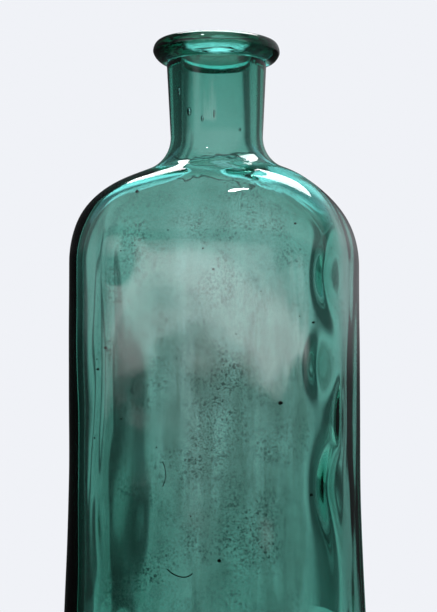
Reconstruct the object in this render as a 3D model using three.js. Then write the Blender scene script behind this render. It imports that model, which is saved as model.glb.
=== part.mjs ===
// An old hand-blown liquor bottle: a flat-sided flask of blue-green glass, with a thick lip laid on
// round the end of its neck. Millimetres, +Z up. The origin is under the middle of the base, on the
// table, and the broad front face looks along -Y.
import * as THREE from 'three';

// Body, an oblong with rounded corners
const BODY_WIDTH = 88;
const BODY_DEPTH = 62;
const OUTER_SQUARENESS = 7; // exponent of the section's outline: 2 is an ellipse, more is squarer
const INNER_SQUARENESS = 4.5; // the hollow is rounder, so the glass is thick in the corners
const ROUND = 2;
const WALL_AT_BASE = 4.6;
const WALL_AT_SHOULDER = 3;
const BASE_SPREAD = 2.2; // how far each side stands out at the base, where soft glass sagged
const SPREAD_HEIGHT = 95; // height at which the sides are straight
const HEEL_RADIUS = 6;
const FOOT_WIDTH = 9; // flat rim that the bottle stands on
const PUSH_UP = 6; // height of the hollow under the base
const BASE_THICKNESS = 7;
const INNER_HEEL_RADIUS = 11;

// Shoulder: a long sweep down the sides, a shorter roll over the front and back edges
const SHOULDER_START = 154.5;
const SHOULDER_RISE = 33.2;
const SHOULDER_END_RADIUS = 22.4;
const SHOULDER_TURN = THREE.MathUtils.degToRad(70); // how far the sweep turns before the neck begins
const ROLL_START = 164;
const ROLL_TURN = THREE.MathUtils.degToRad(52); // how far the roll leans back before the neck begins
const ROUND_OFF_START = 0.3; // share of the sweep after which its outline turns from square to round

// Neck and lip
const HEIGHT = 228;
const NECK_BASE_RADIUS = 15.1;
const NECK_TOP_RADIUS = 16.3;
const NECK_WALL = 3.6;
const BORE_RADIUS = 11.6;
const LIP_RADIUS = 20.8;
const LIP_HEIGHT = 8;
const LIP_COVER = 2.6; // glass of the lip that lies over the neck's cut end
const LIP_WIDEST = 224.6; // height at which the lip is widest
const LIP_TOP_ROUNDING = 2.2; // how far the roll leans in from there to the flat top
const LIP_STEP = 0.3; // flat step under the roll, next to the neck
const MOUTH_RADIUS = 1.3; // rounding of the mouth's inner edge

// How finely the curves are cut
const SEGMENTS = 48;
const BEND_STEPS = 4;
const WALL_STEPS = 5;
const SHOULDER_STEPS = 10;
const SWEEP_STEPS = 6;
const NEARLY_ZERO = 1e-9;

const NECK_END = HEIGHT - LIP_COVER;
const LIP_UNDERSIDE = HEIGHT - LIP_HEIGHT;

// Blue-green bottle glass, clearer in the blown walls than in the thick lip
const bottleGlass = (name, color, opacity) =>
  new THREE.MeshStandardMaterial({ name, color, opacity, transparent: true, roughness: 0.06, metalness: 0 });
const bodyGlass = bottleGlass('body_glass', 0x5fa093, 0.55);
const lipGlass = bottleGlass('lip_glass', 0x4f9488, 0.65);

// The steps of a bend, from the first fraction of it to the whole
const fractions = (first, steps) =>
  Array.from({ length: steps + 1 - first }, (_, i) => (i + first) / steps);

// One level of the body: half its width and depth, its height and how square its outline is
const ring = (halfWidth, halfDepth, height, squareness) => ({ halfWidth, halfDepth, height, squareness });

const spreadAt = (height) =>
  BASE_SPREAD * (1 - THREE.MathUtils.smoothstep(height, 0, SPREAD_HEIGHT));

const sideRing = (height, inset, squareness) =>
  ring(
    BODY_WIDTH / 2 + spreadAt(height) - inset,
    BODY_DEPTH / 2 + spreadAt(height) - inset,
    height,
    squareness,
  );

const wallAt = (height) =>
  THREE.MathUtils.mapLinear(height, 0, SHOULDER_START, WALL_AT_BASE, WALL_AT_SHOULDER);

// The shoulder's sweep ends where the hollow sweep up into the neck begins. Front and back lean back less.
const ROUNDING = 1 - Math.cos(SHOULDER_TURN);
const SHOULDER_END = SHOULDER_START + SHOULDER_RISE * Math.sin(SHOULDER_TURN);
const SHOULDER_RUN = (BODY_WIDTH / 2 - SHOULDER_END_RADIUS) / ROUNDING;
const SWEEP_RADIUS = (SHOULDER_END_RADIUS - NECK_BASE_RADIUS) / ROUNDING;
const NECK_START = SHOULDER_END + SWEEP_RADIUS * Math.sin(SHOULDER_TURN);
const ROLL_ROUNDING = 1 - Math.cos(ROLL_TURN);
const ROLL_SWEEP_RADIUS = (NECK_START - SHOULDER_END) / Math.sin(ROLL_TURN);
const ROLL_END_RADIUS = NECK_BASE_RADIUS + ROLL_SWEEP_RADIUS * ROLL_ROUNDING;
const ROLL_RUN = (BODY_DEPTH / 2 - ROLL_END_RADIUS) / ROLL_ROUNDING;
const ROLL_RISE = (SHOULDER_END - ROLL_START) / Math.sin(ROLL_TURN);

// A level of the shoulder, or of the hollow under it when inset by the wall's thickness
function shoulderRing(fraction, inset, squareness) {
  const turn = fraction * SHOULDER_TURN;
  const height = SHOULDER_START + SHOULDER_RISE * Math.sin(turn);
  const roll = Math.asin(Math.max(height - ROLL_START, 0) / ROLL_RISE);
  return ring(
    BODY_WIDTH / 2 - SHOULDER_RUN * (1 - Math.cos(turn)) - inset * Math.cos(turn),
    BODY_DEPTH / 2 - ROLL_RUN * (1 - Math.cos(roll)) - inset * Math.cos(roll),
    height - inset * Math.sin(turn),
    THREE.MathUtils.lerp(squareness, ROUND, THREE.MathUtils.smoothstep(fraction, ROUND_OFF_START, 1)),
  );
}

// A level of the hollow sweep from the shoulder up into the neck
function sweepRing(fraction, inset) {
  const turn = SHOULDER_TURN * (1 - fraction);
  const drop = (SWEEP_RADIUS + inset) * Math.sin(turn);
  const roll = Math.asin(drop / (ROLL_SWEEP_RADIUS + inset));
  return ring(
    NECK_BASE_RADIUS + SWEEP_RADIUS - (SWEEP_RADIUS + inset) * Math.cos(turn),
    NECK_BASE_RADIUS + ROLL_SWEEP_RADIUS - (ROLL_SWEEP_RADIUS + inset) * Math.cos(roll),
    NECK_START - drop,
    ROUND,
  );
}

const neckRing = (radius, height) => ring(radius, radius, height, ROUND);

// The domes under and over the base are round in the middle and square up towards their edges
const domeSquareness = (fraction) => THREE.MathUtils.lerp(ROUND, INNER_SQUARENESS, fraction ** 2);

// The hollow under the base, then its flat rim and the rounded heel
function undersideRings() {
  const foot = sideRing(0, HEEL_RADIUS + FOOT_WIDTH, INNER_SQUARENESS);
  const dome = fractions(0, BEND_STEPS).map((f) =>
    ring(foot.halfWidth * f, foot.halfDepth * f, PUSH_UP * (1 - f * f), domeSquareness(f)),
  );
  const heel = fractions(0, BEND_STEPS).map((f) => {
    const turn = (f * Math.PI) / 2;
    return sideRing(HEEL_RADIUS * (1 - Math.cos(turn)), HEEL_RADIUS * (1 - Math.sin(turn)), OUTER_SQUARENESS);
  });
  return [...dome, ...heel];
}

// The floor inside, from where it bends up into the walls to its middle
function floorRings() {
  const bend = fractions(0, BEND_STEPS).map((f) => {
    const turn = (f * Math.PI) / 2;
    const height = BASE_THICKNESS + INNER_HEEL_RADIUS * (1 - Math.sin(turn));
    const inset = wallAt(height) + INNER_HEEL_RADIUS * (1 - Math.cos(turn));
    return sideRing(height, inset, INNER_SQUARENESS);
  });
  const edge = bend.at(-1);
  const dome = fractions(1, BEND_STEPS).map((f) =>
    ring(
      edge.halfWidth * (1 - f),
      edge.halfDepth * (1 - f),
      BASE_THICKNESS + PUSH_UP * (1 - (1 - f) ** 2),
      domeSquareness(1 - f),
    ),
  );
  return [...bend, ...dome];
}

const sideHeights = (from, to) =>
  fractions(1, WALL_STEPS).map((f) => THREE.MathUtils.lerp(from, to, f));

// The outside of the body from the middle of the base up, over the neck's cut end, and back down inside
const bodyRings = [
  ...undersideRings(),
  ...sideHeights(HEEL_RADIUS, SHOULDER_START).map((height) => sideRing(height, 0, OUTER_SQUARENESS)),
  ...fractions(1, SHOULDER_STEPS).map((f) => shoulderRing(f, 0, OUTER_SQUARENESS)),
  ...fractions(1, SWEEP_STEPS).map((f) => sweepRing(f, 0)),
  neckRing(NECK_TOP_RADIUS, LIP_UNDERSIDE),
  neckRing(NECK_TOP_RADIUS, NECK_END),
  neckRing(BORE_RADIUS, NECK_END),
  ...fractions(0, SWEEP_STEPS).map((f) => sweepRing(1 - f, NECK_WALL)),
  ...fractions(1, SHOULDER_STEPS).map((f) => shoulderRing(1 - f, WALL_AT_SHOULDER, INNER_SQUARENESS)),
  ...sideHeights(SHOULDER_START, BASE_THICKNESS + INNER_HEEL_RADIUS)
    .slice(0, -1)
    .map((height) => sideRing(height, wallAt(height), INNER_SQUARENESS)),
  ...floorRings(),
];

// A turned shape whose rings are then squared off, each to its own width, depth and squareness
function blownBody(rings) {
  const geometry = new THREE.LatheGeometry(
    rings.map(({ halfWidth, height }) => new THREE.Vector2(halfWidth, height)),
    SEGMENTS,
  );
  const squared = (value, squareness) => Math.sign(value) * Math.abs(value) ** (ROUND / squareness);
  const snapped = (value) => (Math.abs(value) < NEARLY_ZERO ? 0 : value);
  for (let segment = 0; segment <= SEGMENTS; segment += 1) {
    const angle = ((segment % SEGMENTS) / SEGMENTS) * 2 * Math.PI;
    rings.forEach(({ halfWidth, halfDepth, height, squareness }, level) => {
      geometry.attributes.position.setXYZ(
        segment * rings.length + level,
        halfWidth * squared(snapped(Math.sin(angle)), squareness),
        -halfDepth * squared(snapped(Math.cos(angle)), squareness),
        height,
      );
    });
  }
  geometry.computeVertexNormals();
  return geometry;
}

// The lip's section: down the neck's end, out under a full roll, over its top and into the mouth
function appliedLip() {
  const rootRadius = NECK_TOP_RADIUS + LIP_STEP;
  const topRadius = LIP_RADIUS - LIP_TOP_ROUNDING;
  const belly = LIP_WIDEST - LIP_UNDERSIDE;
  const section = new THREE.Path()
    .moveTo(NECK_TOP_RADIUS, NECK_END)
    .lineTo(NECK_TOP_RADIUS, LIP_UNDERSIDE)
    .lineTo(rootRadius, LIP_UNDERSIDE)
    .absellipse(rootRadius, LIP_WIDEST, LIP_RADIUS - rootRadius, belly, -Math.PI / 2, 0, false)
    .absellipse(topRadius, LIP_WIDEST, LIP_TOP_ROUNDING, HEIGHT - LIP_WIDEST, 0, Math.PI / 2, false)
    .lineTo(BORE_RADIUS + MOUTH_RADIUS, HEIGHT)
    .absarc(BORE_RADIUS + MOUTH_RADIUS, HEIGHT - MOUTH_RADIUS, MOUTH_RADIUS, Math.PI / 2, Math.PI, false)
    .lineTo(BORE_RADIUS, NECK_END)
    .closePath();
  return new THREE.LatheGeometry(section.getPoints(BEND_STEPS), SEGMENTS).rotateX(Math.PI / 2);
}

function piece(name, geometry, material) {
  const mesh = new THREE.Mesh(geometry, material);
  mesh.name = name;
  return mesh;
}

const bottle = new THREE.Group();
bottle.add(piece('blown_body', blownBody(bodyRings), bodyGlass));
bottle.add(piece('applied_lip', appliedLip(), lipGlass));

export default bottle;
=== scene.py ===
"""An old hand-blown liquor bottle of blue-green glass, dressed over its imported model.

Lengths in the sections are millimetres, turned to metres where a mesh is made."""
import math

import bmesh
import bpy
import numpy as np
from mathutils import Matrix, Vector, noise


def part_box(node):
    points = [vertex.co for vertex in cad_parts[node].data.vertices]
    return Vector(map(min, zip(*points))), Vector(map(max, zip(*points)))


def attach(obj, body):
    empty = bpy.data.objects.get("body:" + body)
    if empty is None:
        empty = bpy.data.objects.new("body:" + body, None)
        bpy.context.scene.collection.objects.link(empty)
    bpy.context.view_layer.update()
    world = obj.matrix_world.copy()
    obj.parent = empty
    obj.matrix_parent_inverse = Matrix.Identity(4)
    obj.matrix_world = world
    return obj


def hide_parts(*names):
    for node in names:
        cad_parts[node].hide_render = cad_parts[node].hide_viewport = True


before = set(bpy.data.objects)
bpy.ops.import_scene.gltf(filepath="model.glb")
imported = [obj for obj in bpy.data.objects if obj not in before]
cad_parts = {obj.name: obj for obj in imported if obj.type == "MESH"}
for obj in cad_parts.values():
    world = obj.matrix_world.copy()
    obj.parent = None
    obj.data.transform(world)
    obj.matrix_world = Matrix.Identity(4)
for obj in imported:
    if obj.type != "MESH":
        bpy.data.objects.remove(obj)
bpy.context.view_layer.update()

# The blown body
# One gather of blue-green glass, blown into an oblong mould and drawn in to a short neck. The outside took
# the mould's flat sides. The inside touched nothing, so the wall waves, and is thick in the corners, at the
# left and towards the base, where the soft glass sank.
MM = 0.001
UNDER_BRIM = 0.01
body_low, body_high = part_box("blown_body")
lip_low, lip_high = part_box("applied_lip")
HEIGHT = lip_high.z / MM - UNDER_BRIM
NECK_END = body_high.z / MM
LIP_UNDERSIDE = lip_low.z / MM
BASE_SPREAD = 2.2
BODY_WIDTH = (body_high.x - body_low.x) / MM - 2 * BASE_SPREAD
BODY_DEPTH = (body_high.y - body_low.y) / MM - 2 * BASE_SPREAD
SPREAD_HEIGHT = 95
OUTER_SQUARENESS = (7, 5, 7, 7)
HOLLOW_SQUARENESS = (7, 4.8, 9, 6)
DOME_SQUARENESS = (4.5, 4.5, 4.5, 4.5)
ROUND = (2, 2, 2, 2)
LEFT_WALL = (5.5, 3.7)
RIGHT_WALL = (3.4, 2.0)
FACE_WALL = (4.2, 2.9)
SETTLED_FROM, SETTLED_TO = 35, 150
HEEL_RADIUS = 6
FOOT_WIDTH = 9
PUSH_UP = 6
BASE_THICKNESS = 7
INNER_HEEL_RADIUS = 11
SHOULDER_START = 154.5
SHOULDER_RISE = 33.2
SHOULDER_END_RADIUS = 22.4
SHOULDER_TURN = math.radians(70)
ROLL_START = 164
ROLL_TURN = math.radians(52)
ROLL_EASE = 9
ROUND_OFF_START = 0.3
NECK_BASE_RADIUS = 15.1
NECK_TOP_RADIUS = 16.3
NECK_WALL = 3.6
BORE_RADIUS = 11.6
CUT_EDGE = 0.2
RING_POINTS = 192
CORNER_SHARE = 1.0
HEEL_STEPS, SIDE_STEPS, SHOULDER_STEPS, SWEEP_STEPS, NECK_STEPS = 6, 64, 28, 14, 6

ROUNDING = 1 - math.cos(SHOULDER_TURN)
SHOULDER_END = SHOULDER_START + SHOULDER_RISE * math.sin(SHOULDER_TURN)
SHOULDER_RUN = (BODY_WIDTH / 2 - SHOULDER_END_RADIUS) / ROUNDING
SWEEP_RADIUS = (SHOULDER_END_RADIUS - NECK_BASE_RADIUS) / ROUNDING
NECK_START = SHOULDER_END + SWEEP_RADIUS * math.sin(SHOULDER_TURN)
ROLL_ROUNDING = 1 - math.cos(ROLL_TURN)
ROLL_SWEEP_RADIUS = (NECK_START - SHOULDER_END) / math.sin(ROLL_TURN)
ROLL_END_RADIUS = NECK_BASE_RADIUS + ROLL_SWEEP_RADIUS * ROLL_ROUNDING
ROLL_RUN = (BODY_DEPTH / 2 - ROLL_END_RADIUS) / ROLL_ROUNDING
ROLL_RISE = (SHOULDER_END - ROLL_START) / math.sin(ROLL_TURN)


def eased(value, low, high):
    """0 up to low, 1 from high on, and a smooth rise between them."""
    t = min(max((value - low) / (high - low), 0), 1)
    return t * t * (3 - 2 * t)


def between(low, high, share):
    return low + (high - low) * share


def squarer(low, high, share):
    return tuple(between(a, b, share) for a, b in zip(low, high))


def shares(first, steps):
    """The steps of a bend as shares of it, from the first to the whole."""
    return [i / steps for i in range(first, steps + 1)]


def walls_at(height):
    """How thick the left wall, the right wall and the broad faces are: thicker low down, where glass sank."""
    thin = eased(height, SETTLED_FROM, SETTLED_TO)
    return [between(low, high, thin) for low, high in (LEFT_WALL, RIGHT_WALL, FACE_WALL)]


def side_ring(height, inset, squareness):
    """A level of the sides: half its width and depth, its height, the squareness of its corners (back right, back
    left, front left, front right) and how far right it stands."""
    spread = BASE_SPREAD * (1 - eased(height, 0, SPREAD_HEIGHT))
    return BODY_WIDTH / 2 + spread - inset, BODY_DEPTH / 2 + spread - inset, height, squareness, 0


def hollow_ring(height, inset):
    """A level of the hollow. Its middle stands off to the right where the left wall is the thicker one."""
    left, right, face = walls_at(height)
    half_width, half_depth, _, _, _ = side_ring(height, inset, HOLLOW_SQUARENESS)
    return half_width - (left + right) / 2, half_depth - face, height, HOLLOW_SQUARENESS, (left - right) / 2


def shoulder_ring(share, side_inset, face_inset, squareness, shift):
    turn = share * SHOULDER_TURN
    height = SHOULDER_START + (SHOULDER_RISE - side_inset) * math.sin(turn)
    lift = height - ROLL_START
    if abs(lift) < ROLL_EASE:
        lift = (lift + ROLL_EASE) ** 2 / (4 * ROLL_EASE)
    roll = math.asin(max(lift, 0) / (ROLL_RISE - face_inset))
    return (
        BODY_WIDTH / 2 - SHOULDER_RUN * (1 - math.cos(turn)) - side_inset * math.cos(turn),
        BODY_DEPTH / 2 - ROLL_RUN * (1 - math.cos(roll)) - face_inset * math.cos(roll),
        height,
        squarer(squareness, ROUND, eased(share, ROUND_OFF_START, 1)),
        shift,
    )


def sweep_ring(share, inset):
    turn = SHOULDER_TURN * (1 - share)
    drop = (SWEEP_RADIUS + inset) * math.sin(turn)
    roll = math.asin(drop / (ROLL_SWEEP_RADIUS + inset))
    return (
        NECK_BASE_RADIUS + SWEEP_RADIUS - (SWEEP_RADIUS + inset) * math.cos(turn),
        NECK_BASE_RADIUS + ROLL_SWEEP_RADIUS - (ROLL_SWEEP_RADIUS + inset) * math.cos(roll),
        NECK_START - drop,
        ROUND,
        0,
    )


def neck_ring(radius, height):
    return radius, radius, height, ROUND, 0


foot_width, foot_depth, _, _, _ = side_ring(0, HEEL_RADIUS + FOOT_WIDTH, DOME_SQUARENESS)
outside = [
    (foot_width * s, foot_depth * s, PUSH_UP * (1 - s * s), squarer(ROUND, DOME_SQUARENESS, s * s), 0)
    for s in shares(1, HEEL_STEPS)
]
outside += [
    side_ring(HEEL_RADIUS * (1 - math.cos(s * math.pi / 2)), HEEL_RADIUS * (1 - math.sin(s * math.pi / 2)),
              OUTER_SQUARENESS)
    for s in shares(0, HEEL_STEPS)
]
outside += [
    side_ring(between(HEEL_RADIUS, SHOULDER_START, s), 0, OUTER_SQUARENESS) for s in shares(1, SIDE_STEPS)
]
outside += [shoulder_ring(s, 0, 0, OUTER_SQUARENESS, 0) for s in shares(1, SHOULDER_STEPS)]
outside += [sweep_ring(s, 0) for s in shares(1, SWEEP_STEPS)]
outside += [
    neck_ring(between(NECK_BASE_RADIUS, NECK_TOP_RADIUS, s), between(NECK_START, LIP_UNDERSIDE, s))
    for s in shares(1, NECK_STEPS)
]
outside += [neck_ring(NECK_TOP_RADIUS, between(LIP_UNDERSIDE, NECK_END, s)) for s in (0.5, 0.97, 1)]
outside += [neck_ring(NECK_TOP_RADIUS - CUT_EDGE, NECK_END), neck_ring(BORE_RADIUS + CUT_EDGE, NECK_END)]

inside = [neck_ring(BORE_RADIUS, between(NECK_END, NECK_START, s)) for s in (0, 0.02, 0.2, 0.4, 0.6, 0.8)]
inside += [sweep_ring(1 - s, NECK_WALL) for s in shares(0, SWEEP_STEPS)]
side_wall, side_shift = (LEFT_WALL[1] + RIGHT_WALL[1]) / 2, (LEFT_WALL[1] - RIGHT_WALL[1]) / 2
inside += [
    shoulder_ring(1 - s, between(NECK_WALL, side_wall, s), between(NECK_WALL, FACE_WALL[1], s), HOLLOW_SQUARENESS,
                  side_shift * s)
    for s in shares(1, SHOULDER_STEPS)
]
floor_bend = BASE_THICKNESS + INNER_HEEL_RADIUS
inside += [hollow_ring(between(SHOULDER_START, floor_bend, s), 0) for s in shares(1, SIDE_STEPS)[:-1]]
inside += [
    hollow_ring(BASE_THICKNESS + INNER_HEEL_RADIUS * (1 - math.sin(s * math.pi / 2)),
                INNER_HEEL_RADIUS * (1 - math.cos(s * math.pi / 2)))
    for s in shares(0, HEEL_STEPS)
]
floor_width, floor_depth, _, _, floor_shift = inside[-1]
inside += [
    (floor_width * (1 - s), floor_depth * (1 - s), BASE_THICKNESS + PUSH_UP * (1 - (1 - s) ** 2),
     squarer(HOLLOW_SQUARENESS, ROUND, 1 - (1 - s) ** 2), floor_shift * (1 - s))
    for s in shares(1, HEEL_STEPS)[:-1]
]
levels = outside + inside


CURVE_POINTS = 721


def outline(half_width, half_depth, squareness):
    """Points round a squared-off ellipse, spaced along each quarter of it and closer together in its corner."""
    points = []
    for corner, power in enumerate(squareness):
        angle = np.linspace(0, math.pi / 2, CURVE_POINTS)
        x = half_width * np.cos(angle).clip(0) ** (2 / power)
        y = half_depth * np.sin(angle).clip(0) ** (2 / power)
        length = np.hypot(np.diff(x), np.diff(y))
        turning = np.abs(np.gradient(np.unwrap(np.arctan2(np.diff(y), np.diff(x)))))
        step = length / length.sum() + CORNER_SHARE * turning / turning.sum()
        along = np.concatenate([[0], np.cumsum(step)])
        even = np.linspace(0, along[-1], RING_POINTS // 4 + 1)
        x, y = np.interp(even, along, x), np.interp(even, along, y)
        if corner % 2:
            x, y = x[::-1], y[::-1]
        side_x, side_y = ((1, 1), (-1, 1), (-1, -1), (1, -1))[corner]
        points.append(np.stack([side_x * x, side_y * y], axis=1)[:-1])
    return np.concatenate(points)


def wave(place, across, upright, seed):
    """Smooth unevenness from -1 to 1, with bumps of the given size across and upright."""
    return noise.noise(Vector((place[0] / across, place[1] / across, place[2] / upright)) + Vector((seed,) * 3))


bpy.ops.object.select_all(action="DESELECT")
bpy.ops.mesh.primitive_circle_add(vertices=RING_POINTS, radius=1, fill_type="NOTHING")
body = bpy.context.object
body.name = body.data.name = "blown_glass_body"
bpy.ops.object.mode_set(mode="EDIT")
for _ in levels[1:]:
    bpy.ops.mesh.extrude_region_move(TRANSFORM_OT_translate={"value": (0, 0, 1)})

# Waves of the inner and outer side (depth, size across, size upright, seed), which die down at the foot and on the
# neck. A faint dent on the shoulder (place, depth, reach), lumps that ran down inside the right front corner (place,
# depth, size across, size upright), an oval dimple at the upper left of the front (middle, depth, half its width,
# half its height), and broad faces that sank as the glass cooled.
INNER_WAVES = ((0.65, 17, 56, 3.7), (0.3, 8, 24, 9.1))
OUTER_WAVES = ((0.26, 34, 50, 5.3), (0.05, 11, 17, 7.9))
DENT = (Vector((14.9, -28.8, 174.4)), 0.04, 3.0)
LUMPS = (
    ((38.7, -23.4, 148.7), 2.0, 2.8, 8),
    ((36.7, -24.7, 121.2), 1.8, 2.6, 7),
    ((41.0, -18.0, 104.3), 1.2, 2.6, 9),
    ((38.8, -21.7, 84.5), 2.2, 3.2, 11),
)
DIMPLE = ((-25.0, 157.5), 0.35, 6.3, 10.5)
SUNKEN, SUNKEN_MIDDLE, SUNKEN_HALF = 0.9, 105, (38, 62)
SUNKEN_EDGE = 0.4
NECK_CALM, CALM_RUN_IN, CALM_END, CALM_FOOT = 0.75, 8, 12, (4, 20)
drawn = bmesh.from_edit_mesh(body.data)
inner_side = drawn.verts.layers.float.new("inside")
outlines = [outline(w, d, q) + (shift, 0) for w, d, _, q, shift in levels]
for vertex in drawn.verts:
    step = round(vertex.co.z)
    around = round(math.atan2(vertex.co.y, vertex.co.x) / (2 * math.pi) * RING_POINTS) % RING_POINTS
    x, y = outlines[step][around]
    half_width, half_depth, z, squareness, shift = levels[step]
    power = squareness[around * 4 // RING_POINTS] - 1
    out = Vector((math.copysign(abs((x - shift) / half_width) ** power, x - shift) / half_width,
                  math.copysign(abs(y / half_depth) ** power, y) / half_depth, 0)).normalized()
    is_inner = step >= len(outside)
    vertex[inner_side] = float(is_inner)
    calm = 1 - NECK_CALM * eased(z, SHOULDER_END - CALM_RUN_IN, NECK_START)
    calm *= eased(NECK_END - z, 0, CALM_END) * eased(z, *CALM_FOOT)
    push = calm * sum(depth * wave((x, y, z), across, upright, seed)
                      for depth, across, upright, seed in (INNER_WAVES if is_inner else OUTER_WAVES))
    if is_inner:
        for (lump_x, lump_y, lump_z), depth, across, upright in LUMPS:
            far = ((x - lump_x) ** 2 + (y - lump_y) ** 2) / across**2 + (z - lump_z) ** 2 / upright**2
            push += depth * math.exp(-far)
    else:
        middle, depth, reach = DENT
        push += depth * math.exp(-(Vector((x, y, z)) - middle).length_squared / reach**2)
        level = 1 - ((z - SUNKEN_MIDDLE) / SUNKEN_HALF[1]) ** 2
        level = (level + math.hypot(level, SUNKEN_EDGE)) / 2
        push += abs(out.y) * SUNKEN * max(1 - (x / SUNKEN_HALF[0]) ** 2, 0) * level
        if y < 0:
            (dimple_x, dimple_z), depth, across, upright = DIMPLE
            push += depth * max(1 - ((x - dimple_x) / across) ** 2 - ((z - dimple_z) / upright) ** 2, 0)
    vertex.co = (Vector((x, y, z)) - out * push) * MM
bmesh.update_edit_mesh(body.data)

CAP_REACH = 1.5
for wanted in (levels[0][2], levels[-1][2]):
    bpy.ops.mesh.select_all(action="DESELECT")
    drawn = bmesh.from_edit_mesh(body.data)
    for edge in drawn.edges:
        if edge.is_boundary and abs(edge.verts[0].co.z / MM - wanted) < CAP_REACH:
            edge.select = True
    bmesh.update_edit_mesh(body.data)
    bpy.ops.mesh.edge_face_add()
    bpy.ops.mesh.poke()
bpy.ops.mesh.select_all(action="SELECT")
bpy.ops.mesh.normals_make_consistent(inside=False)
bpy.ops.object.mode_set(mode="OBJECT")

# Seeds, the gas bubbles that stretched with the glass as the neck was drawn: (place, half width, half height)
SEEDS = (
    ((-9.3, -11.0, 209.9), 0.6, 1.3),
    ((-5.7, -12.6, 203.0), 0.8, 1.4),
    ((-1.4, -13.5, 200.4), 0.5, 1.0),
    ((2.4, -13.5, 202.1), 0.35, 0.9),
    ((-4.0, 13.1, 206.0), 0.4, 0.9),
    ((9.5, -9.6, 197.0), 0.35, 0.7),
    ((12.6, 6.0, 203.5), 0.45, 0.9),
)
seeds = []
for place, half_width, half_height in SEEDS:
    bpy.ops.object.select_all(action="DESELECT")
    bpy.ops.mesh.primitive_uv_sphere_add(segments=16, ring_count=10, radius=1)
    seed = bpy.context.object
    bpy.ops.object.mode_set(mode="EDIT")
    bpy.ops.mesh.select_all(action="SELECT")
    bpy.ops.transform.resize(value=(half_width * MM, half_width * MM, half_height * MM))
    bpy.ops.transform.translate(value=Vector(place) * MM)
    bpy.ops.mesh.flip_normals()
    bpy.ops.object.mode_set(mode="OBJECT")
    seeds.append(seed)
for seed in seeds:
    seed.select_set(True)
body.select_set(True)
bpy.context.view_layer.objects.active = body
bpy.ops.object.join()
bpy.ops.object.shade_smooth()


def linear(hex_colour):
    """An sRGB hex colour as the linear colour that shaders take."""
    parts = [int(hex_colour[i:i + 2], 16) / 255 for i in (1, 3, 5)]
    return tuple(p / 12.92 if p <= 0.04045 else ((p + 0.055) / 1.055) ** 2.4 for p in parts) + (1,)


def node(owner, kind, settings=None, **inputs):
    """Adds a node, sets its properties and its inputs, and links the inputs that are other nodes' outputs.

    An input goes by its name, with _ for a space, or by i and its number."""
    made = owner.node_tree.nodes.new(kind)
    for name, value in (settings or {}).items():
        setattr(made, name, value)
    for name, value in inputs.items():
        numbered = name[0] == "i" and name[1:].isdigit()
        socket = made.inputs[int(name[1:])] if numbered else made.inputs[name.replace("_", " ")]
        if isinstance(value, bpy.types.NodeSocket):
            owner.node_tree.links.new(value, socket)
        else:
            socket.default_value = value
    return made


def blank(name):
    material = bpy.data.materials.new(name)
    material.use_nodes = True
    material.node_tree.nodes.clear()
    return material


# Soda-lime glass that iron tints blue-green: clear, and darker the longer the way through it. Inside the body a
# thin grey film of dried dirt dims it unevenly, with dark specks in patches and a dark wavy ring at the neck's root.
# The film is rinsed off the sides and thins out upwards. Its specks are finer on such glass, and are drawn as coarse
# as the render can show.
ABSORBED_PER_METRE = (256, 108, 134)
DEEPEST_TINT = 0.95
DENSITY = max(ABSORBED_PER_METRE) / DEEPEST_TINT
TINT = tuple(1 - a / DENSITY for a in ABSORBED_PER_METRE) + (1,)
GLASS_IOR = 1.52
FILM_GREY, SPECK_EARTH = "#9EA49C", "#2B332B"
CLOUD_SIZE, RUN_WIDTH, RUN_STRETCH = 34, 8, (1, 1, 0.14)
PATCH_SIZE, GRAIN_SIZE, DOT_SPACING, RIPPLE_SIZE = 15, 0.6, 1.2, 9
PATCHES = (
    ((11, -27, 114), 14), ((3, -27, 92), 9), ((16, -26, 67), 18), ((-24, -27, 128), 9), ((-14, -26, 60), 12),
)
CLEANER_FROM, CLEANER_TO = 178, 194
THINNER_FROM, THINNER_TO = 118, 168
RINSED_FROM, RINSED_TO = 27, 35
ROOT_LINE_LOW, ROOT_LINE_HIGH = 181, 194

blown_glass = blank("blown_bottle_glass")
place = node(blown_glass, "ShaderNodeTexCoord")
place = node(blown_glass, "ShaderNodeVectorMath", {"operation": "SCALE"}, Vector=place.outputs["Object"],
             Scale=1 / MM)
height = node(blown_glass, "ShaderNodeSeparateXYZ", Vector=place.outputs[0])
inner = node(blown_glass, "ShaderNodeAttribute", {"attribute_name": "inside"})
below_neck = node(blown_glass, "ShaderNodeMapRange", {"interpolation_type": "SMOOTHSTEP"}, i0=height.outputs["Z"],
                  i1=CLEANER_FROM, i2=CLEANER_TO, i3=1, i4=0.26)
dirty = node(blown_glass, "ShaderNodeMath", {"operation": "MULTIPLY"}, i0=inner.outputs["Fac"],
             i1=below_neck.outputs[0])

cloud = node(blown_glass, "ShaderNodeTexNoise", Vector=place.outputs[0], Scale=1 / CLOUD_SIZE, Detail=4,
             Roughness=0.62)
film = node(blown_glass, "ShaderNodeMapRange", i0=cloud.outputs["Fac"], i1=0.34, i2=0.66, i3=0.12, i4=0.55)
runs = node(blown_glass, "ShaderNodeVectorMath", {"operation": "MULTIPLY"}, i0=place.outputs[0], i1=RUN_STRETCH)
runs = node(blown_glass, "ShaderNodeTexNoise", Vector=runs.outputs[0], Scale=1 / RUN_WIDTH, Detail=3, Roughness=0.6)
runs = node(blown_glass, "ShaderNodeMapRange", {"interpolation_type": "SMOOTHSTEP"}, i0=runs.outputs["Fac"],
            i1=0.42, i2=0.66, i3=0.0, i4=0.4)
film = node(blown_glass, "ShaderNodeMath", {"operation": "ADD"}, i0=film.outputs[0], i1=runs.outputs[0])
film = node(blown_glass, "ShaderNodeMath", {"operation": "MULTIPLY"}, i0=film.outputs[0], i1=dirty.outputs[0])
aside = node(blown_glass, "ShaderNodeMath", {"operation": "ABSOLUTE"}, i0=height.outputs["X"])
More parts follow.
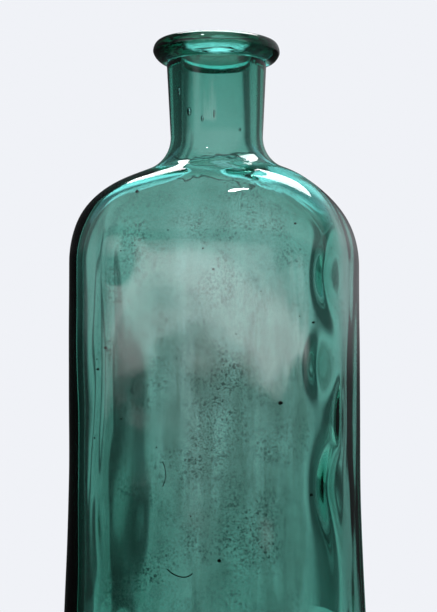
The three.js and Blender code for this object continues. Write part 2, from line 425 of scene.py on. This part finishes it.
rinsed = node(blown_glass, "ShaderNodeMapRange", {"interpolation_type": "SMOOTHSTEP"}, i0=aside.outputs[0],
              i1=RINSED_FROM, i2=RINSED_TO, i3=1.0, i4=0.1)
film = node(blown_glass, "ShaderNodeMath", {"operation": "MULTIPLY"}, i0=film.outputs[0], i1=rinsed.outputs[0])
thinner = node(blown_glass, "ShaderNodeMapRange", {"interpolation_type": "SMOOTHSTEP"}, i0=height.outputs["Z"],
               i1=THINNER_FROM, i2=THINNER_TO, i3=1.0, i4=0.3)
film = node(blown_glass, "ShaderNodeMath", {"operation": "MULTIPLY"}, i0=film.outputs[0], i1=thinner.outputs[0])
filmed = node(blown_glass, "ShaderNodeMix", {"data_type": "RGBA"}, i0=film.outputs[0], i6=(1, 1, 1, 1),
              i7=linear(FILM_GREY))

patch = node(blown_glass, "ShaderNodeTexNoise", Vector=place.outputs[0], Scale=1 / PATCH_SIZE, Detail=3,
             Roughness=0.6)
patch = node(blown_glass, "ShaderNodeMapRange", {"interpolation_type": "SMOOTHSTEP"}, i0=patch.outputs["Fac"],
             i1=0.42, i2=0.65, i3=0.12, i4=0.7)
for middle, reach in PATCHES:
    far = node(blown_glass, "ShaderNodeVectorMath", {"operation": "DISTANCE"}, i0=place.outputs[0], i1=middle)
    near = node(blown_glass, "ShaderNodeMapRange", {"interpolation_type": "SMOOTHSTEP"}, i0=far.outputs["Value"],
                i1=reach * 0.25, i2=reach, i3=0.5, i4=0)
    patch = node(blown_glass, "ShaderNodeMath", {"operation": "ADD", "use_clamp": True}, i0=patch.outputs[0],
                 i1=near.outputs[0])
grain = node(blown_glass, "ShaderNodeTexNoise", Vector=place.outputs[0], Scale=1 / GRAIN_SIZE, Detail=3,
             Roughness=0.75)
grain = node(blown_glass, "ShaderNodeMapRange", {"interpolation_type": "SMOOTHSTEP"}, i0=grain.outputs["Fac"],
             i1=0.465, i2=0.63, i3=0, i4=0.75)
dots = node(blown_glass, "ShaderNodeTexVoronoi", Vector=place.outputs[0], Scale=1 / DOT_SPACING)
chosen = node(blown_glass, "ShaderNodeSeparateXYZ", Vector=dots.outputs["Color"])
chosen = node(blown_glass, "ShaderNodeMapRange", i0=chosen.outputs["X"], i1=0.12, i2=1.0, i3=0.0, i4=0.48)
dots = node(blown_glass, "ShaderNodeMath", {"operation": "LESS_THAN"}, i0=dots.outputs["Distance"],
            i1=chosen.outputs[0])
dots = node(blown_glass, "ShaderNodeMath", {"operation": "MULTIPLY"}, i0=dots.outputs[0], i1=0.8)
specks = node(blown_glass, "ShaderNodeMath", {"operation": "MAXIMUM"}, i0=grain.outputs[0], i1=dots.outputs[0])
specks = node(blown_glass, "ShaderNodeMath", {"operation": "MULTIPLY"}, i0=specks.outputs[0], i1=patch.outputs[0])
specks = node(blown_glass, "ShaderNodeMath", {"operation": "MULTIPLY"}, i0=specks.outputs[0], i1=dirty.outputs[0])
specks = node(blown_glass, "ShaderNodeMath", {"operation": "MULTIPLY"}, i0=specks.outputs[0], i1=rinsed.outputs[0])

ripple = node(blown_glass, "ShaderNodeTexNoise", Vector=place.outputs[0], Scale=1 / RIPPLE_SIZE, Detail=2,
              Roughness=0.5)
# A dark wavy ring round the inside of the neck's root, at heights that the ripple moves up and down.
root_line = node(blown_glass, "ShaderNodeMapRange", i0=ripple.outputs["Fac"], i1=0, i2=1, i3=ROOT_LINE_LOW, i4=ROOT_LINE_HIGH)
root_line = node(blown_glass, "ShaderNodeMath", {"operation": "SUBTRACT"}, i0=height.outputs["Z"], i1=root_line.outputs[0])
root_line = node(blown_glass, "ShaderNodeMath", {"operation": "ABSOLUTE"}, i0=root_line.outputs[0])
root_line = node(blown_glass, "ShaderNodeMapRange", {"interpolation_type": "SMOOTHSTEP"}, i0=root_line.outputs[0],
            i1=0.15, i2=0.75, i3=0.85, i4=0)
root_line = node(blown_glass, "ShaderNodeMath", {"operation": "MULTIPLY"}, i0=root_line.outputs[0], i1=inner.outputs["Fac"])
dirt = node(blown_glass, "ShaderNodeMath", {"operation": "MAXIMUM"}, i0=specks.outputs[0], i1=root_line.outputs[0])
stained = node(blown_glass, "ShaderNodeMix", {"data_type": "RGBA"}, i0=dirt.outputs[0], i6=filmed.outputs[2],
               i7=linear(SPECK_EARTH))
haze = node(blown_glass, "ShaderNodeMapRange", i0=film.outputs[0], i1=0, i2=1, i3=1.0, i4=0.64)
clear = node(blown_glass, "ShaderNodeMapRange", i0=dirt.outputs[0], i1=0, i2=1, i3=haze.outputs[0], i4=0.55)
blur = node(blown_glass, "ShaderNodeMapRange", i0=film.outputs[0], i1=0, i2=1, i3=0.0, i4=0.09)
orange_peel = node(blown_glass, "ShaderNodeBump", Strength=0.25, Distance=0.03 * MM, Height=ripple.outputs["Fac"])
absorb = node(blown_glass, "ShaderNodeVolumeAbsorption", Color=TINT, Density=DENSITY)
surface = node(blown_glass, "ShaderNodeBsdfPrincipled", Base_Color=stained.outputs[2], Roughness=blur.outputs[0],
               IOR=GLASS_IOR, Transmission_Weight=clear.outputs[0], Normal=orange_peel.outputs[0])
node(blown_glass, "ShaderNodeOutputMaterial", Surface=surface.outputs["BSDF"], Volume=absorb.outputs["Volume"])
body.data.materials.append(blown_glass)
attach(body, "root")
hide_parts("blown_body")

# The lip
# A ring of the same glass, laid round and over the neck's cut end while it was hot, and turned to shape with
# a tool. It is melted to the neck, so the two lap by a hair and no air shows between them. It sits a little
# lower at the right, where its edge is chipped.
LIP_RADIUS = lip_high.x / MM
LIP_WIDEST = 224.6
LIP_TOP_ROUNDING = 2.2
LIP_STEP = 0.3
UNDERSIDE_RISE = 0.6
BELLY_POWER = 1.25
MOUTH_RADIUS = 1.3
LAP = 0.15
LIP_TURNS = 180
BELLY_STEPS, ROUNDING_STEPS, FLAT_STEPS, MOUTH_STEPS = 12, 10, 4, 5
TILT = math.tan(math.radians(0.9))
LOW_BEARING = math.radians(13)
LOW_END = Vector((math.cos(LOW_BEARING), math.sin(LOW_BEARING), 0))
LEANING_EDGE = 1.5
# How deep its unevenness and the roughness of the chip are, each with size across, size upright and seed
LIP_WAVES, LIP_WAVE_SIZES = 0.22, (9, 6, 2.3)
CHIP_OUT, CHIP_HEIGHT, CHIP_RADIUS = 22.3, 228.4, 3.9
CHIP = LOW_END * CHIP_OUT + Vector((0, 0, CHIP_HEIGHT))
CHIP_ROUGHNESS, CHIP_SIZES = 0.5, (1.6, 1.6, 6.1)
WELD = 0.01
LIP_CREASE = math.radians(40)
root_radius, top_radius = NECK_TOP_RADIUS + LIP_STEP, LIP_RADIUS - LIP_TOP_ROUNDING
roll_bottom = LIP_UNDERSIDE + UNDERSIDE_RISE
section = [(NECK_TOP_RADIUS - LAP, NECK_END - LAP), (NECK_TOP_RADIUS - LAP, roll_bottom)]
section += [(between(root_radius, LIP_RADIUS, math.sin(a) ** BELLY_POWER),
             between(LIP_WIDEST, roll_bottom, max(math.cos(a), 0) ** BELLY_POWER))
            for a in (s * math.pi / 2 for s in shares(0, BELLY_STEPS))]
section += [(between(top_radius, LIP_RADIUS, math.cos(a)), between(LIP_WIDEST, HEIGHT, math.sin(a)))
            for a in (s * math.pi / 2 for s in shares(1, ROUNDING_STEPS))]
section += [(between(top_radius, BORE_RADIUS + MOUTH_RADIUS, s), HEIGHT) for s in shares(1, FLAT_STEPS)]
section += [(BORE_RADIUS + MOUTH_RADIUS * (1 - math.sin(a)), HEIGHT - MOUTH_RADIUS * (1 - math.cos(a)))
            for a in (s * math.pi / 2 for s in shares(1, MOUTH_STEPS))]
section += [(BORE_RADIUS, NECK_END - LAP)]

bpy.ops.object.select_all(action="DESELECT")
bpy.ops.mesh.primitive_circle_add(vertices=len(section), radius=1, fill_type="NOTHING")
lip = bpy.context.object
lip.name = lip.data.name = "tooled_glass_lip"
for vertex, (radius, height) in zip(lip.data.vertices, section):
    vertex.co = Vector((radius, 0, height)) * MM
bpy.ops.object.mode_set(mode="EDIT")
bpy.ops.mesh.select_all(action="SELECT")
bpy.ops.mesh.spin(steps=LIP_TURNS, angle=2 * math.pi, center=(0, 0, 0), axis=(0, 0, 1))
bpy.ops.mesh.select_all(action="SELECT")
bpy.ops.mesh.remove_doubles(threshold=WELD * MM)
bpy.ops.mesh.normals_make_consistent(inside=False)
turned = bmesh.from_edit_mesh(lip.data)
for vertex in turned.verts:
    place = vertex.co / MM
    outer = eased(Vector((place.x, place.y)).length, NECK_TOP_RADIUS, LIP_RADIUS - LEANING_EDGE)
    place.z -= outer * TILT * (place.dot(LOW_END) + LIP_RADIUS)
    uneven = LIP_WAVES * outer * abs(wave(place, *LIP_WAVE_SIZES))
    place -= Vector((place.x, place.y, 0)).normalized() * uneven
    away = place - CHIP
    bite = CHIP_RADIUS + CHIP_ROUGHNESS * wave(place, *CHIP_SIZES)
    if away.length < bite:
        place = CHIP + away.normalized() * bite
    vertex.co = place * MM
bmesh.update_edit_mesh(lip.data)
bpy.ops.object.mode_set(mode="OBJECT")
bpy.ops.object.shade_smooth_by_angle(angle=LIP_CREASE)

# The same tinted glass. The tool left faint rings round it, and handling dulled it in spots.
RING_SPACING, RING_STRETCH, DUST_SIZE = 1.6, (0.06, 0.06, 1), 4
LIP_STAIN = "#E6EAE4"
tooled_glass = blank("tooled_lip_glass")
place = node(tooled_glass, "ShaderNodeTexCoord")
place = node(tooled_glass, "ShaderNodeVectorMath", {"operation": "SCALE"}, Vector=place.outputs["Object"],
             Scale=1 / MM)
rings = node(tooled_glass, "ShaderNodeVectorMath", {"operation": "MULTIPLY"}, i0=place.outputs[0], i1=RING_STRETCH)
rings = node(tooled_glass, "ShaderNodeTexNoise", Vector=rings.outputs[0], Scale=1 / RING_SPACING, Detail=2,
             Roughness=0.55)
marks = node(tooled_glass, "ShaderNodeBump", Strength=0.8, Distance=0.12 * MM, Height=rings.outputs["Fac"])
dust = node(tooled_glass, "ShaderNodeTexNoise", Vector=place.outputs[0], Scale=1 / DUST_SIZE, Detail=4,
            Roughness=0.7)
dull = node(tooled_glass, "ShaderNodeMapRange", i0=dust.outputs["Fac"], i1=0.4, i2=0.75, i3=0.0, i4=0.08)
stain = node(tooled_glass, "ShaderNodeMix", {"data_type": "RGBA"}, i0=dust.outputs["Fac"], i6=linear("#FFFFFF"),
             i7=linear(LIP_STAIN))
absorb = node(tooled_glass, "ShaderNodeVolumeAbsorption", Color=TINT, Density=DENSITY)
surface = node(tooled_glass, "ShaderNodeBsdfPrincipled", Base_Color=stain.outputs[2], Roughness=dull.outputs[0],
               IOR=GLASS_IOR, Transmission_Weight=1.0, Normal=marks.outputs[0])
node(tooled_glass, "ShaderNodeOutputMaterial", Surface=surface.outputs["BSDF"], Volume=absorb.outputs["Volume"])
lip.data.materials.append(tooled_glass)
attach(lip, "root")
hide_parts("applied_lip")

# Grit
# Specks of dirt, a hair and a dried run that stuck to the damp inside of the front wall. Nothing holds them but
# the film they dried in.
GRIT = (
    (-29.2, 127.0, 0.62), (-31.9, 120.4, 0.50), (-32.2, 123.6, 0.32), (-19.8, 175.5, 0.60), (30.8, 164.6, 0.42),
    (36.0, 134.3, 0.50), (32.2, 136.2, 0.28), (26.2, 109.8, 0.80), (35.0, 81.8, 0.55), (6.9, 61.5, 0.75),
    (-33.0, 98.9, 0.35), (-24.2, 157.4, 0.30), (-24.3, 104.9, 0.36), (2.2, 157.6, 0.34), (-9.0, 163.5, 0.30),
    (5.4, 151.0, 0.42), (-13.0, 96.0, 0.3), (20.4, 144.0, 0.26), (12.5, 131.0, 0.3), (-2.0, 75.0, 0.34),
)
HAIR = ((-11.1, 91.7), (-10.0, 89.6), (-9.6, 87.6), (-10.2, 85.6), (-11.0, 84.0))
RUN = ((-9.4, 58.7), (-7.4, 56.6), (-5.3, 56.4), (-3.6, 55.6), (-1.5, 57.4))
HAIR_RADIUS, RUN_RADIUS = 0.14, 0.2
GRAIN_SHAPE = (0.9, 0.35, 0.7)
LUMPINESS, LUMP_SIZE, LUMP_SEED = 0.55, 0.8, 1.7


def on_front_wall(x, z):
    """The point of the hollow's front wall at this place across and up."""
    _, point, _, _ = body.ray_cast(Vector((x, 0, z)) * MM, (0, -1, 0))
    return point


bits = []
for number, (x, z, size) in enumerate(GRIT):
    bpy.ops.object.select_all(action="DESELECT")
    bpy.ops.mesh.primitive_ico_sphere_add(subdivisions=2, radius=1)
    bit = bpy.context.object
    middle = on_front_wall(x, z)
    for vertex in bit.data.vertices:
        lump = 1 + LUMPINESS * wave(vertex.co, LUMP_SIZE, LUMP_SIZE, number * LUMP_SEED)
        flattened = Vector([share * part for share, part in zip(GRAIN_SHAPE, vertex.co)])
        vertex.co = middle + flattened * lump * size * MM
    bits.append(bit)
for points, thickness in ((HAIR, HAIR_RADIUS), (RUN, RUN_RADIUS)):
    bpy.ops.object.select_all(action="DESELECT")
    bpy.ops.curve.primitive_nurbs_path_add(radius=1)
    thread = bpy.context.object
    for knot, (x, z) in zip(thread.data.splines[0].points, points):
        knot.co = (*on_front_wall(x, z), 1)
    thread.data.bevel_depth = thickness * MM
    thread.data.bevel_resolution = 1
    bpy.ops.object.convert(target="MESH")
    bits.append(bpy.context.object)
for bit in bits:
    bit.select_set(True)
grit = bits[0]
bpy.context.view_layer.objects.active = grit
bpy.ops.object.join()
grit.name = grit.data.name = "dried_grit"
bpy.ops.object.shade_smooth()

# Dry earth, nearly black with brown grains, and dull
EARTH_DARK, EARTH_BROWN, EARTH_GRAIN = "#0E110D", "#2A261C", 0.4
dry_earth = blank("dry_earth")
place = node(dry_earth, "ShaderNodeTexCoord")
grains = node(dry_earth, "ShaderNodeTexNoise", Vector=place.outputs["Object"], Scale=1 / (EARTH_GRAIN * MM),
              Detail=2)
earth = node(dry_earth, "ShaderNodeMix", {"data_type": "RGBA"}, i0=grains.outputs["Fac"], i6=linear(EARTH_DARK),
             i7=linear(EARTH_BROWN))
surface = node(dry_earth, "ShaderNodeBsdfPrincipled", Base_Color=earth.outputs[2], Roughness=0.9)
node(dry_earth, "ShaderNodeOutputMaterial", Surface=surface.outputs["BSDF"])
grit.data.materials.clear()
grit.data.materials.append(dry_earth)
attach(grit, "root")

# The stage
# A plain pale floor that runs into a pale surround, soft lamps, and a camera where the photograph's stood.
PALE = "#F0F2F7"
FLOOR_RADIUS, FLOOR_POINTS = 0.3, 96
GLOW_FROM, GLOW_TO, MIRRORED_FLOOR = 0.1, 0.95 * FLOOR_RADIUS, 0.12
AZIMUTH, ELEVATION, ROLL = (math.radians(a) for a in (13, -2.571, -0.214))


def seen_or_lighting(owner, lighting, seen):
    """Seen holds for rays from the camera, a mirror or glass, and lighting for those that only carry light."""
    path = node(owner, "ShaderNodeLightPath")
    onward = node(owner, "ShaderNodeMath", {"operation": "MAXIMUM"}, i0=path.outputs["Is Glossy Ray"],
                  i1=path.outputs["Is Transmission Ray"])
    any_seen = node(owner, "ShaderNodeMath", {"operation": "MAXIMUM"}, i0=path.outputs["Is Camera Ray"],
                    i1=onward.outputs[0])
    return node(owner, "ShaderNodeMixShader", Fac=any_seen.outputs[0], i1=lighting.outputs[0], i2=seen.outputs[0])


bpy.ops.object.select_all(action="DESELECT")
bpy.ops.mesh.primitive_circle_add(vertices=FLOOR_POINTS, radius=FLOOR_RADIUS, fill_type="NGON")
floor = bpy.context.object
floor.name = "floor"
paint = blank("pale_floor_paint")
place = node(paint, "ShaderNodeTexCoord")
away = node(paint, "ShaderNodeVectorMath", {"operation": "LENGTH"}, Vector=place.outputs["Object"])
glowing = node(paint, "ShaderNodeMapRange", {"interpolation_type": "SMOOTHSTEP"}, i0=away.outputs["Value"],
               i1=GLOW_FROM, i2=GLOW_TO, i3=0.3, i4=1.0)
lit = node(paint, "ShaderNodeBsdfDiffuse", Color=linear(PALE))
glow = node(paint, "ShaderNodeEmission", Color=linear(PALE), Strength=1)
faded = node(paint, "ShaderNodeMixShader", Fac=glowing.outputs[0], i1=lit.outputs[0], i2=glow.outputs[0])
dusk = node(paint, "ShaderNodeEmission", Color=linear(PALE), Strength=MIRRORED_FLOOR)
path = node(paint, "ShaderNodeLightPath")
faded = node(paint, "ShaderNodeMixShader", Fac=path.outputs["Is Reflection Ray"], i1=faded.outputs[0],
             i2=dusk.outputs[0])
floor_look = seen_or_lighting(paint, lit, faded)
node(paint, "ShaderNodeOutputMaterial", Surface=floor_look.outputs[0])
floor.data.materials.append(paint)

# Dark flags stand at the sides and in front, as round any glass that is photographed, and give it its dark edges.
# Band over band from low to high: (heights on the sky between which it takes over, colour, then pairs of degrees to
# the right of straight behind the bottle and brightness). One set is seen through the glass, the other is mirrored
# in it, and the camera itself sees neither.
SKY = "#DDEBFF"
BEHIND = (
    (-1, -0.9, "#FFFFFF", ((-180, 1.0), (180, 1.0))),
    (-0.19, -0.15, PALE, ((-180, 0.08), (-60, 0.05), (-14, 0.05), (-11, 0.2), (-10, 0.2), (-9, 1.0), (9, 1.0),
                          (15, 0.25), (30, 0.2), (60, 0.5), (110, 0.3), (180, 0.08))),
    (-0.11, -0.07, PALE, ((-180, 0.08), (-60, 0.05), (-20.5, 0.05), (-16, 0.95), (-12.5, 0.95), (-11.4, 0.14),
                          (-10, 0.14), (-9, 1.0), (10, 1.0), (15, 0.15), (30, 0.15), (60, 0.5), (110, 0.3),
                          (180, 0.08))),
    (-0.03, 0.06, PALE, ((-180, 0.1), (-70, 0.1), (-21, 0.2), (-17, 0.9), (-12.5, 0.9), (-11.4, 0.35), (-10, 0.35),
                         (-9, 1.0), (11, 1.0), (15, 0.15), (30, 0.15), (42, 0.9), (60, 0.8), (110, 0.3), (180, 0.1))),
    (0.1, 0.2, PALE, ((-180, 0.1), (-70, 0.1), (-19, 0.2), (-9, 1.0), (12, 1.0), (17, 0.2), (30, 0.2), (42, 0.9),
                      (60, 0.8), (110, 0.3), (180, 0.1))),
    (0.36, 0.44, SKY, ((-180, 0.3), (-100, 0.2), (-30, 0.5), (-18, 3.8), (18, 3.8), (30, 1.0), (60, 1.0), (100, 0.5),
                       (180, 0.3))),
)
MIRRORED = (
    (-1, -0.9, PALE, ((-180, 0.03), (-142, 0.04), (-137, 0.1), (-127, 0.1), (-120, 0.04), (-10, 0.04), (0, 0.2),
                      (10, 0.06), (16, 0.03), (45, 0.03), (80, 0.08), (120, 0.06), (180, 0.03))),
    (-0.075, -0.015, PALE, ((-180, 0.03), (-150, 0.03), (-142, 0.08), (-137, 0.15), (-127, 0.15), (-120, 0.04),
                            (-10, 0.04), (0, 0.2), (10, 0.06), (16, 0.05), (45, 0.05), (80, 0.1), (120, 0.06),
                            (180, 0.03))),
    (-0.01, 0.06, PALE, ((-180, 0.04), (-150, 0.04), (-142, 0.3), (-137, 1.0), (-127, 1.0), (-120, 0.05), (-10, 0.05),
                         (0, 0.3), (10, 0.2), (16, 0.3), (45, 0.3), (80, 0.4), (120, 0.08), (180, 0.04))),
    (0.09, 0.16, PALE, ((-180, 0.9), (-120, 0.8), (-95, 0.1), (-10, 0.06), (8, 0.08), (20, 0.4), (60, 0.4),
                        (105, 0.15), (125, 0.8), (180, 0.9))),
)
world = bpy.data.worlds.new("pale_surround")
bpy.context.scene.world = world
world.use_nodes = True
world.node_tree.nodes.clear()
place = node(world, "ShaderNodeTexCoord")
turned = node(world, "ShaderNodeMapping", {"vector_type": "POINT"}, Vector=place.outputs["Generated"],
              Rotation=(0, 0, -AZIMUTH))
split = node(world, "ShaderNodeSeparateXYZ", Vector=turned.outputs[0])
bearing = node(world, "ShaderNodeMath", {"operation": "ARCTAN2"}, i0=split.outputs[0], i1=split.outputs[1])
bearing = node(world, "ShaderNodeMapRange", i0=bearing.outputs[0], i1=-math.pi, i2=math.pi, i3=0.0, i4=1.0)


def banded(bands):
    """The colour of the surround by bearing and height, from bands that lie one over the other."""
    colour = (0, 0, 0, 1)
    for from_height, to_height, tint, stops in bands:
        ramp = node(world, "ShaderNodeValToRGB", Fac=bearing.outputs[0])
        ends = ramp.color_ramp.elements
        shades = [tuple(share * part for part in linear(tint)[:3]) + (1,) for _, share in stops]
        for (degrees, _), shade in list(zip(stops, shades))[1:-1]:
            ends.new(degrees / 360 + 0.5).color = shade
        ends[0].color, ends[-1].color = shades[0], shades[-1]
        over = node(world, "ShaderNodeMapRange", {"interpolation_type": "SMOOTHSTEP"}, i0=split.outputs[2],
                    i1=from_height, i2=to_height, i3=0.0, i4=1.0)
        colour = node(world, "ShaderNodeMix", {"data_type": "RGBA"}, i0=over.outputs[0], i6=colour,
                      i7=ramp.outputs[0]).outputs[2]
    return colour


# A pale panel in front at the left, which the upper front mirrors as a soft veil: along each axis of the sky, where
# it begins, is full, begins to fade and is gone. Its edges waver.
PANEL_GLOW = 4.2
PANEL = (("X", -0.6, -0.45, -0.2, 0.05), ("Y", -2, -1.5, -0.8, -0.6), ("Z", -0.015, 0.016, 0.036, 0.074))
WAVER, WAVERS, WAVER_FLATTENING = (0.1, 0.0, 0.06), 9, (1, 1, 3)
behind, mirrored = banded(BEHIND), banded(MIRRORED)
uneven = node(world, "ShaderNodeVectorMath", {"operation": "MULTIPLY"}, i0=turned.outputs[0], i1=WAVER_FLATTENING)
uneven = node(world, "ShaderNodeTexNoise", Vector=uneven.outputs[0], Scale=WAVERS, Detail=3)
uneven = node(world, "ShaderNodeVectorMath", {"operation": "MULTIPLY_ADD"}, i0=uneven.outputs["Color"],
              i1=WAVER, i2=[-w / 2 for w in WAVER])
uneven = node(world, "ShaderNodeVectorMath", {"operation": "ADD"}, i0=uneven.outputs[0], i1=turned.outputs[0])
uneven = node(world, "ShaderNodeSeparateXYZ", Vector=uneven.outputs[0])
panel = PANEL_GLOW
for axis, low, full, fading, gone in PANEL:
    opens = node(world, "ShaderNodeMapRange", {"interpolation_type": "SMOOTHSTEP"}, i0=uneven.outputs[axis], i1=low,
                 i2=full)
    shuts = node(world, "ShaderNodeMapRange", {"interpolation_type": "SMOOTHSTEP"}, i0=uneven.outputs[axis], i1=fading,
                 i2=gone, i3=1.0, i4=0.0)
    panel = node(world, "ShaderNodeMath", {"operation": "MULTIPLY"}, i0=panel, i1=opens.outputs[0]).outputs[0]
    panel = node(world, "ShaderNodeMath", {"operation": "MULTIPLY"}, i0=panel, i1=shuts.outputs[0]).outputs[0]
mirrored = node(world, "ShaderNodeVectorMath", {"operation": "ADD"}, i0=mirrored, i1=panel)
path = node(world, "ShaderNodeLightPath")
seen = node(world, "ShaderNodeMix", {"data_type": "RGBA"}, i0=path.outputs["Is Reflection Ray"], i6=behind,
            i7=mirrored.outputs[0])
seen = node(world, "ShaderNodeMix", {"data_type": "RGBA"}, i0=path.outputs["Is Camera Ray"], i6=seen.outputs[2],
            i7=linear(PALE))
seen = node(world, "ShaderNodeBackground", Color=seen.outputs[2], Strength=1)
dim = node(world, "ShaderNodeBackground", Color=linear(PALE), Strength=0.8)
surround = seen_or_lighting(world, dim, seen)
node(world, "ShaderNodeOutputWorld", Surface=surround.outputs[0])


def softbox(name, place, size, radiance, aim=(0, 0, 0.15)):
    lamp = bpy.data.lights.new(name, "AREA")
    lamp.shape = "ELLIPSE"
    lamp.size, lamp.size_y = size
    lamp.energy = 4 * size[0] * size[1] * radiance
    lamp_object = bpy.data.objects.new(name, lamp)
    bpy.context.scene.collection.objects.link(lamp_object)
    lamp_object.location = place
    lamp_object.visible_transmission = False
    lamp_object.rotation_euler = (Vector(aim) - Vector(place)).to_track_quat("-Z", "Y").to_euler()


softbox("high_softbox", (-0.01, 0.543, 1.24), (1.24, 0.73), 6)
softbox("front_lamp", (-0.176, -0.587, 1.02), (0.02, 0.13), 60)

PIXELS = (437, 612)
DISTANCE = 0.54078
FOCAL_PIXELS = 1658.6
AIM_RIGHT, AIM_HEIGHT = 0.000373, 0.140972
lens = bpy.data.cameras.new("camera")
camera = bpy.data.objects.new("camera", lens)
bpy.context.scene.collection.objects.link(camera)
lens.lens = lens.sensor_width * FOCAL_PIXELS / max(PIXELS)
lens.clip_start = 0.01
aim = Vector((AIM_RIGHT * math.cos(AZIMUTH), AIM_RIGHT * math.sin(AZIMUTH), AIM_HEIGHT))
back = Vector((math.sin(AZIMUTH) * math.cos(ELEVATION), -math.cos(AZIMUTH) * math.cos(ELEVATION), math.sin(ELEVATION)))
camera.location = aim + back * DISTANCE
looking = (-back).to_track_quat("-Z", "Y").to_matrix() @ Matrix.Rotation(ROLL, 3, "Z")
camera.rotation_euler = looking.to_euler()
bpy.context.scene.camera = camera
bpy.context.scene.view_settings.view_transform = "Standard"
